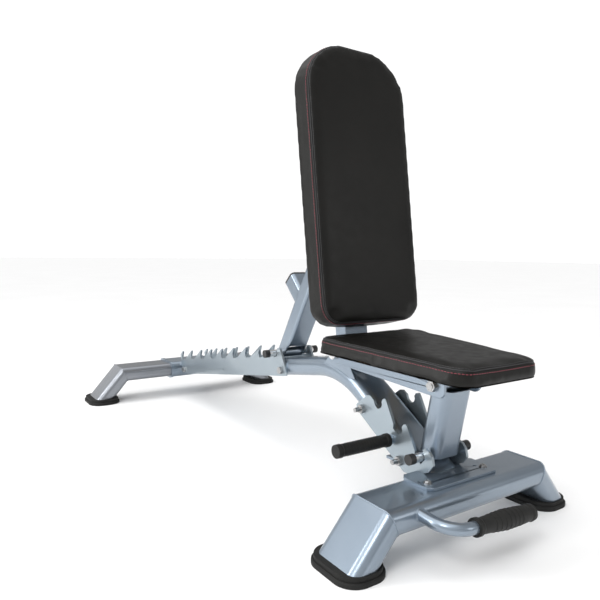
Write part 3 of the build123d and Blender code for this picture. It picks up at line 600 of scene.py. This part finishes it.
# ---------------------------------------------------------------- pads
class Pad:
    """A foam pad in vinyl: simulated cover, side panel, welt, stitches, flap and staples."""

    def __init__(self, name, node, board, rough, pucker, shrink):
        self.name = name
        self.node = NODES[node]
        self.body = BODY[node]
        self.source = world_bmesh(self.node)
        self.backing = world_bmesh(NODES[board])
        self.facing = facing_of(self.source, rough)
        self.pucker = pucker
        self.shrink = shrink
        outline = outline_of(self.source, self.facing)
        self.front = resample(outline, OUTLINE_STEP)
        self.around = length_of(outline + outline[:1])
        self.cover = self.swollen()
        self.shape_sides()
        self.seam = self.on_cover(self.front, SEAM_OUT, SEAM_UP)
        self.crease()
        self.trim()

    def level_of_back(self):
        return min(vert.co.dot(self.facing) for vert in self.source.verts)

    def skin(self):
        """The cover's surface as it is now."""
        return BVHTree.FromPolygons(
            [vert.co.copy() for vert in self.cover.data.vertices],
            [tuple(face.vertices) for face in self.cover.data.polygons],
        )

    def swollen(self):
        """The CAD pad's shape, remeshed, resized a little and blown up by cloth simulation."""
        mesh = bpy.data.meshes.new(self.name)
        self.source.to_mesh(mesh)
        cover = new_object(self.name, mesh)
        remesh = cover.modifiers.new("even", "REMESH")
        remesh.mode = "VOXEL"
        remesh.voxel_size = PAD_VOXEL
        apply_modifiers(cover)
        backing = surface_of(self.backing)
        back_level = self.level_of_back()
        held = cover.vertex_groups.new(name="held")
        start = []
        for vert, normal in zip(cover.data.vertices, normals_of(cover)):
            near = backing.find_nearest(vert.co)[3] < HELD_TO_BOARD
            low = vert.co.dot(self.facing) < back_level + HELD_TO_BACK
            if not near:
                rise = max(0.0, normal.dot(self.facing))
                flat = normal - self.facing * normal.dot(self.facing)
                vert.co -= flat * self.shrink + self.facing * rise * FACE_SINK
            if near or low:
                held.add([vert.index], 1.0, "REPLACE")
            start.append(vert.co.copy())
        self.inflate(cover, start)
        cover.data.materials.clear()
        cover.data.materials.append(MATERIALS["vinyl"])
        return cover

    def inflate(self, cover, start):
        """Air pressure swells the cover; no corner moves further than PAD_SWELL."""
        cloth = cover.modifiers.new("air", "CLOTH")
        cloth.settings.use_pressure = True
        cloth.settings.uniform_pressure_force = PAD_PRESSURE
        cloth.settings.effector_weights.gravity = 0
        cloth.settings.vertex_group_mass = "held"
        cloth.settings.quality = 5
        cloth.settings.tension_stiffness = 12
        cloth.settings.bending_stiffness = 1.5
        for number in range(1, PAD_FRAMES + 1):
            bpy.context.scene.frame_set(number)
        graph = bpy.context.evaluated_depsgraph_get()
        result = cover.evaluated_get(graph).data
        moved = [vert.co.copy() for vert in result.vertices]
        cover.modifiers.clear()
        for vert, old, new in zip(cover.data.vertices, start, moved):
            step = new - old
            if step.length > 1e-9:
                step = step.normalized() * PAD_SWELL * math.tanh(step.length / PAD_SWELL)
            vert.co = old + step
        bpy.context.scene.frame_set(1)

    def shape_sides(self):
        """Light smoothing and one subdivision, then the side panel's bulge and its puckers."""
        even = self.cover.modifiers.new("even", "SMOOTH")
        even.factor = 0.5
        even.iterations = PAD_SMOOTHING
        divide = self.cover.modifiers.new("finer", "SUBSURF")
        divide.levels = 1
        apply_modifiers(self.cover)
        tree = tree_of(self.front)
        top = max(point.dot(self.facing) for point in self.front)
        depth = top - self.level_of_back()
        backing = surface_of(self.backing)
        step = self.around / len(self.front)
        for vert, normal in zip(self.cover.data.vertices, normals_of(self.cover)):
            level = (top - vert.co.dot(self.facing)) / depth
            side = 1 - abs(normal.dot(self.facing))
            if side < PANEL_LEAN or not PANEL_LEVELS[0] < level < PANEL_LEVELS[1]:
                continue
            if backing.find_nearest(vert.co)[3] < BOARD_CLEARANCE:
                continue
            along = tree.find(vert.co)[1] * step
            bulge = math.sin(math.pi * min(1.0, max(0.0, (level - BULGE_START) / BULGE_SHARE)))
            fold = self.fold_at(along, level) * bulge
            fine = drift(*(vert.co * WRINKLE_PACE)) * FINE_WRINKLE * side
            vert.co += normal * side * (bulge * PANEL_BULGE + fold + fine)
        smooth(self.cover)

    def fold_at(self, along, level):
        """How far the puckers draw the side panel in, along the outline and down the panel."""
        wander = PUCKER_WANDER * drift(along * WANDER_PACE, 3.7, 0)
        wave = math.cos(2 * math.pi * (along + wander) / PUCKER_PITCH)
        uneven = 0.55 + 0.9 * drift(along * UNEVEN_PACE, 0, 9.1)
        return -abs(wave) ** 4 * level * level * uneven * self.pucker

    def on_cover(self, points, out_by, up_by):
        """Points moved outward and along the facing, dropped onto the cover and evened out."""
        skin = self.skin()
        placed = []
        for point, (ahead, out) in zip(points, directions(points, self.facing)):
            aim = point + out * out_by + self.facing * up_by
            placed.append(skin.find_nearest(aim)[0])
        for _ in range(SEAM_SMOOTHING):
            sides = [neighbours(placed, index) for index in range(len(placed))]
            placed = [point * 0.5 + (a + b) * 0.25 for point, (a, b) in zip(placed, sides)]
        return placed

    def crease(self):
        """The cover is pulled in along the seam."""
        tree = tree_of(self.seam)
        for vert, normal in zip(self.cover.data.vertices, normals_of(self.cover)):
            reach = tree.find(vert.co)[2]
            if reach < CREASE_REACH:
                vert.co -= normal * CREASE_DEPTH * math.exp(-((reach / CREASE_WIDTH) ** 2))

    def lifted(self, points, height):
        """Points on the cover nearest to the given ones, raised a little off it."""
        skin = self.skin()
        placed = []
        for point in points:
            spot, normal, *_ = skin.find_nearest(point)
            placed.append(spot + normal * height)
        return placed

    def trim(self):
        """Welt, stitches, flap and staples, each attached to the pad's body and given its material."""
        welt_path = self.lifted(self.seam, WELT_LIFT)
        # The welt's lighter grey is a painted highlight along the seam.
        welt = tube_along(self.name + "_welt", welt_path, [WELT_RADIUS] * len(welt_path), "welt")
        side_row = self.lifted(self.on_cover(self.front, EDGE_ROUND, -SIDE_ROW_DROP), RED_LIFT)
        red = stitches(self.name + "_red_stitches", side_row, material="thread_red", **RED_STITCH)
        top_row = self.lifted(self.on_cover(self.front, 0, TOP_ROW_RISE), GREY_LIFT)
        dark = stitches(self.name + "_grey_stitches", top_row, material="thread_grey", **GREY_STITCH)
        flap = self.flap()
        staples = self.staples()
        for piece in (self.cover, welt, red, dark, flap, staples):
            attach(piece, self.body)
        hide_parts(self.node.name)

    def flap(self):
        """The cover's edge, folded over the board's back with small pleats."""
        rim = resample(outline_of(self.backing, -self.facing), FLAP_STEP)
        mesh = bmesh.new()
        rows = []
        for index, (point, (ahead, out)) in enumerate(zip(rim, directions(rim, self.facing))):
            reach = FLAP_REACH + FLAP_RIPPLE * drift(index * RIPPLE_PACE, 1.3, 0)
            lift = FLAP_LIFT[0] + FLAP_LIFT[1] * abs(drift(index * LIFT_PACE, 8.1, 0))
            # How far outward and how far behind the board each corner lies, from the edge to the tuck.
            profile = (
                (FLAP_OUT, 0.25 * MM),
                (2 * MM, 0.7 * MM + lift),
                (-3 * MM, 0.6 * MM + lift),
                (-reach, 0.75 * MM),
                (-reach, 0.05 * MM),
            )
            rows.append([mesh.verts.new(point + out * x - self.facing * y) for x, y in profile])
        for a, b in zip(rows, rows[1:] + rows[:1]):
            for number in range(len(a) - 1):
                mesh.faces.new((a[number], a[number + 1], b[number + 1], b[number]))
        return finished(self.name + "_flap", mesh, "vinyl")

    def staples(self):
        """Wire staples through the flap, one about every STAPLE_PITCH, each a back and two legs."""
        rim = resample(outline_of(self.backing, -self.facing), STAPLE_PITCH)
        mesh = bmesh.new()
        boxes = (
            (0, STAPLE_LENGTH, STAPLE_WIRE),
            (-STAPLE_LEG_SHIFT, STAPLE_WIRE, STAPLE_LEG_DEPTH),
            (STAPLE_LEG_SHIFT, STAPLE_WIRE, STAPLE_LEG_DEPTH),
        )
        for point, (ahead, out) in zip(rim, directions(rim, self.facing)):
            middle = point - out * STAPLE_INSET - self.facing * STAPLE_BEHIND
            for shift, length, depth in boxes:
                spin = Matrix((ahead, out, self.facing)).transposed().to_4x4()
                spin.translation = middle + ahead * shift + self.facing * (depth - STAPLE_WIRE) / 2
                scale = Matrix.Diagonal((length, STAPLE_WIDTH, depth, 1))
                bmesh.ops.create_cube(mesh, size=1.0, matrix=spin @ scale)
        return finished(self.name + "_staples", mesh, "zinc_fasteners")


def make_pads():
    """A negative shrink makes the cover a little larger than the CAD pad."""
    up = Vector((0, 0, 1))
    forward = Vector((0, -1, 0))
    Pad("seat_cushion", "seat_pad", "seat_board", up, pucker=2.2 * MM, shrink=4.5 * MM)
    Pad("back_cushion", "back_pad", "back_board", forward, pucker=1.3 * MM, shrink=-2.0 * MM)


# ---------------------------------------------------------------- welds
def touching_outline(a, b):
    """The longest chain of sharp edges of one CAD node that lie on another."""
    mesh = world_bmesh(NODES[a])
    other = surface_of(world_bmesh(NODES[b]))
    near = {vert for vert in mesh.verts if other.find_nearest(vert.co)[3] < WELD_REACH}
    rim = []
    for edge in mesh.edges:
        bent = len(edge.link_faces) < 2 or edge.calc_face_angle(0) > WELD_BEND
        if bent and edge.verts[0] in near and edge.verts[1] in near:
            rim.append(edge)
    return max(chains(rim), key=length_of, default=[])


def weld(a, b):
    """A rippled weld bead where one CAD node meets another; none if they hardly touch."""
    rim = touching_outline(a, b)
    if length_of(rim) < WELD_SHORTEST:
        return
    closed = (rim[0] - rim[-1]).length < WELD_CLOSES
    path = resample(rim, WELD_STEP, closed)
    radii = []
    for index, point in enumerate(path):
        ripple = WELD_RIPPLE * math.cos(index * WELD_RIPPLE_TURN)
        uneven = WELD_UNEVEN * drift(*(point * WELD_PACE))
        radii.append(WELD_RADIUS * (1 + ripple + uneven))
    # Beads on the rear foot get its darker copy of the frame paint, which is painted shade.
    look = "frame_paint_painted_shade" if a in REAR else "frame_paint"
    bead = tube_along(f"weld_{a}_{b}", path, radii, look, closed)
    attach(bead, BODY[a])


WELDS = (
    ("front_leg_left", "front_crossbar"),
    ("front_leg_right", "front_crossbar"),
    ("rear_leg_left", "rear_crossbar"),
    ("rear_leg_right", "rear_crossbar"),
    ("front_handle_tube", "front_crossbar"),
    ("side_grip_stub", "seat_ladder_left"),
    ("axle_lug_left", "spine_tube"),
    ("axle_lug_right", "spine_tube"),
    ("prop_handle", "prop_tube"),
    ("spine_tube", "base_plate"),
    ("spine_tube", "rear_sleeve"),
)


def make_welds():
    for a, b in WELDS:
        weld(a, b)


# ---------------------------------------------------------------- grips
def grip_axis(node):
    """The middle, the direction and the half length of a grip, from its vertices."""
    node_matrix = NODES[node].matrix_world
    points = [node_matrix @ vert.co for vert in NODES[node].data.vertices]
    middle = sum(points, Vector()) / len(points)
    far = max(points, key=lambda point: (point - middle).length)
    other = max(points, key=lambda point: (point - far).length)
    rough = (far - other).normalized()
    ends = []
    for sign in (-1, 1):
        most = max((point - middle).dot(rough) * sign for point in points)
        disc = [point for point in points if (point - middle).dot(rough) * sign > most - GRIP_END]
        ends.append(sum(disc, Vector()) / len(disc))
    way = (ends[1] - ends[0]).normalized()
    centre = (ends[0] + ends[1]) / 2
    half = max(abs((point - centre).dot(way)) for point in points)
    return centre, way, half


def make_grip_ribs(node, count, share):
    """Fine raised rings round the hand's part of a rubber grip."""
    surface = surface_of(world_bmesh(NODES[node]))
    centre, way, half = grip_axis(node)
    side = way.orthogonal().normalized()
    up = way.cross(side)
    for number in range(count):
        place = centre + way * half * share * (2 * number / (count - 1) - 1)
        ring = []
        for step in range(RIB_STEPS):
            angle = 2 * math.pi * step / RIB_STEPS
            out = side * math.cos(angle) + up * math.sin(angle)
            hit = surface.ray_cast(place + out * GRIP_CAST, -out)[0]
            ring.append((hit or place + out * GRIP_RADIUS) + out * RIB_LIFT)
        radii = [RIB_RADIUS] * RIB_STEPS
        rib = tube_along(f"{node}_rib_{number + 1}", ring, radii, "rubber_grip", sides=RIB_SIDES)
        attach(rib, BODY[node])


# ---------------------------------------------------------------- small edge rounding
SHEET_NODES = PLATES + (
    "seat_arm_left",
    "seat_arm_right",
    "base_plate",
    "back_plate_lower",
    "back_plate_upper",
    "axle_lug_left",
    "axle_lug_right",
    "seat_plates",
)


def ease_edges():
    """Sheet and plate nodes get their small edge rounding."""
    for name in SHEET_NODES:
        join = NODES[name].modifiers.new("join", "WELD")
        join.merge_threshold = 0.01 * MM
        ease = NODES[name].modifiers.new("ease", "BEVEL")
        ease.width = EASE_WIDTH
        ease.segments = 2
        ease.limit_method = "ANGLE"
        ease.angle_limit = math.radians(EASE_ANGLE)
        ease.harden_normals = False


# ---------------------------------------------------------------- stage
def make_floor():
    """A wide pale floor, which is not attached to the bench."""
    mesh = bpy.data.meshes.new("floor")
    grid = bmesh.new()
    bmesh.ops.create_grid(grid, x_segments=4, y_segments=4, size=FLOOR_HALF)
    grid.to_mesh(mesh)
    grid.free()
    floor = new_object("floor", mesh)
    s = Shader("floor_pale", Roughness=0.9, Specular_IOR_Level=0.1)
    mesh.materials.append(s.feed(Base_Color=s.blend(s.noise(1.5, 2.0), 0.93, 0.95)))


def area_light(name, place, target, size, power):
    data = bpy.data.lights.new(name, "AREA")
    data.shape = "RECTANGLE"
    data.size, data.size_y = size
    data.energy = power
    light = bpy.data.objects.new(name, data)
    light.location = place
    light.rotation_euler = (Vector(target) - Vector(place)).to_track_quat("-Z", "Y").to_euler()
    bpy.context.scene.collection.objects.link(light)


def world_ramp(tree, source, stops):
    """Grey levels along a value, for the world's own node tree."""
    ramp = tree.nodes.new("ShaderNodeValToRGB")
    tree.links.new(source, ramp.inputs["Fac"])
    while len(ramp.color_ramp.elements) < len(stops):
        ramp.color_ramp.elements.new(0.5)
    for element, (position, level) in zip(ramp.color_ramp.elements, stops):
        element.position = position
        element.color = (level, level, level, 1)
    return ramp.outputs[0]


def make_world():
    """A world that the camera sees as white, and that reflects with darker parts in the paint."""
    world = bpy.data.worlds.new("studio")
    world.use_nodes = True
    tree = world.node_tree
    shade = tree.nodes["Background"]
    place = tree.nodes.new("ShaderNodeTexCoord").outputs["Generated"]
    split = tree.nodes.new("ShaderNodeSeparateXYZ")
    tree.links.new(place, split.inputs[0])
    height = world_ramp(tree, split.outputs["Z"], WORLD_BY_HEIGHT)
    turned = tree.nodes.new("ShaderNodeMapRange")
    turned.inputs["From Min"].default_value = -1
    tree.links.new(split.outputs["X"], turned.inputs["Value"])
    sides = world_ramp(tree, turned.outputs[0], WORLD_BY_SIDE)
    both = tree.nodes.new("ShaderNodeMix")
    both.data_type = "RGBA"
    both.blend_type = "MULTIPLY"
    both.inputs["Factor"].default_value = 1
    tree.links.new(height, both.inputs["A"])
    tree.links.new(sides, both.inputs["B"])
    seen = tree.nodes.new("ShaderNodeLightPath").outputs["Is Camera Ray"]
    white = tree.nodes.new("ShaderNodeMix")
    white.data_type = "RGBA"
    tree.links.new(seen, white.inputs["Factor"])
    tree.links.new(both.outputs["Result"], white.inputs["A"])
    white.inputs["B"].default_value = (1, 1, 1, 1)
    tree.links.new(white.outputs["Result"], shade.inputs["Color"])
    shade.inputs["Strength"].default_value = WORLD_STRENGTH
    bpy.context.scene.world = world


def make_lights():
    """Area lights and a very soft sun, the world, and plain colours with no film curve."""
    for light in AREA_LIGHTS:
        area_light(*light)
    sun = bpy.data.lights.new("sun", "SUN")
    sun.energy = SUN_POWER
    sun.angle = math.radians(SUN_SPREAD)
    overhead = bpy.data.objects.new("sun", sun)
    overhead.rotation_euler = (math.radians(SUN_TILT[0]), math.radians(SUN_TILT[1]), 0)
    bpy.context.scene.collection.objects.link(overhead)
    make_world()
    bpy.context.scene.view_settings.view_transform = "Standard"


def make_camera():
    data = bpy.data.cameras.new("camera")
    data.sensor_width = 36.0
    data.lens = CAMERA_LENS
    data.shift_y = CAMERA_SHIFT
    camera = bpy.data.objects.new("camera", data)
    place = Matrix.Translation(CAMERA_PLACE)
    turn = Matrix.Rotation(-CAMERA_YAW, 4, "Z") @ Matrix.Rotation(math.pi / 2 - CAMERA_PITCH, 4, "X")
    camera.matrix_world = place @ turn @ Matrix.Rotation(CAMERA_ROLL, 4, "Z")
    bpy.context.scene.collection.objects.link(camera)
    bpy.context.scene.camera = camera


dress_nodes()
make_pads()
make_welds()
for grip, (ribs, covered) in GRIP_RIBS.items():
    make_grip_ribs(grip, ribs, covered)
ease_edges()
make_floor()
make_lights()
make_camera()
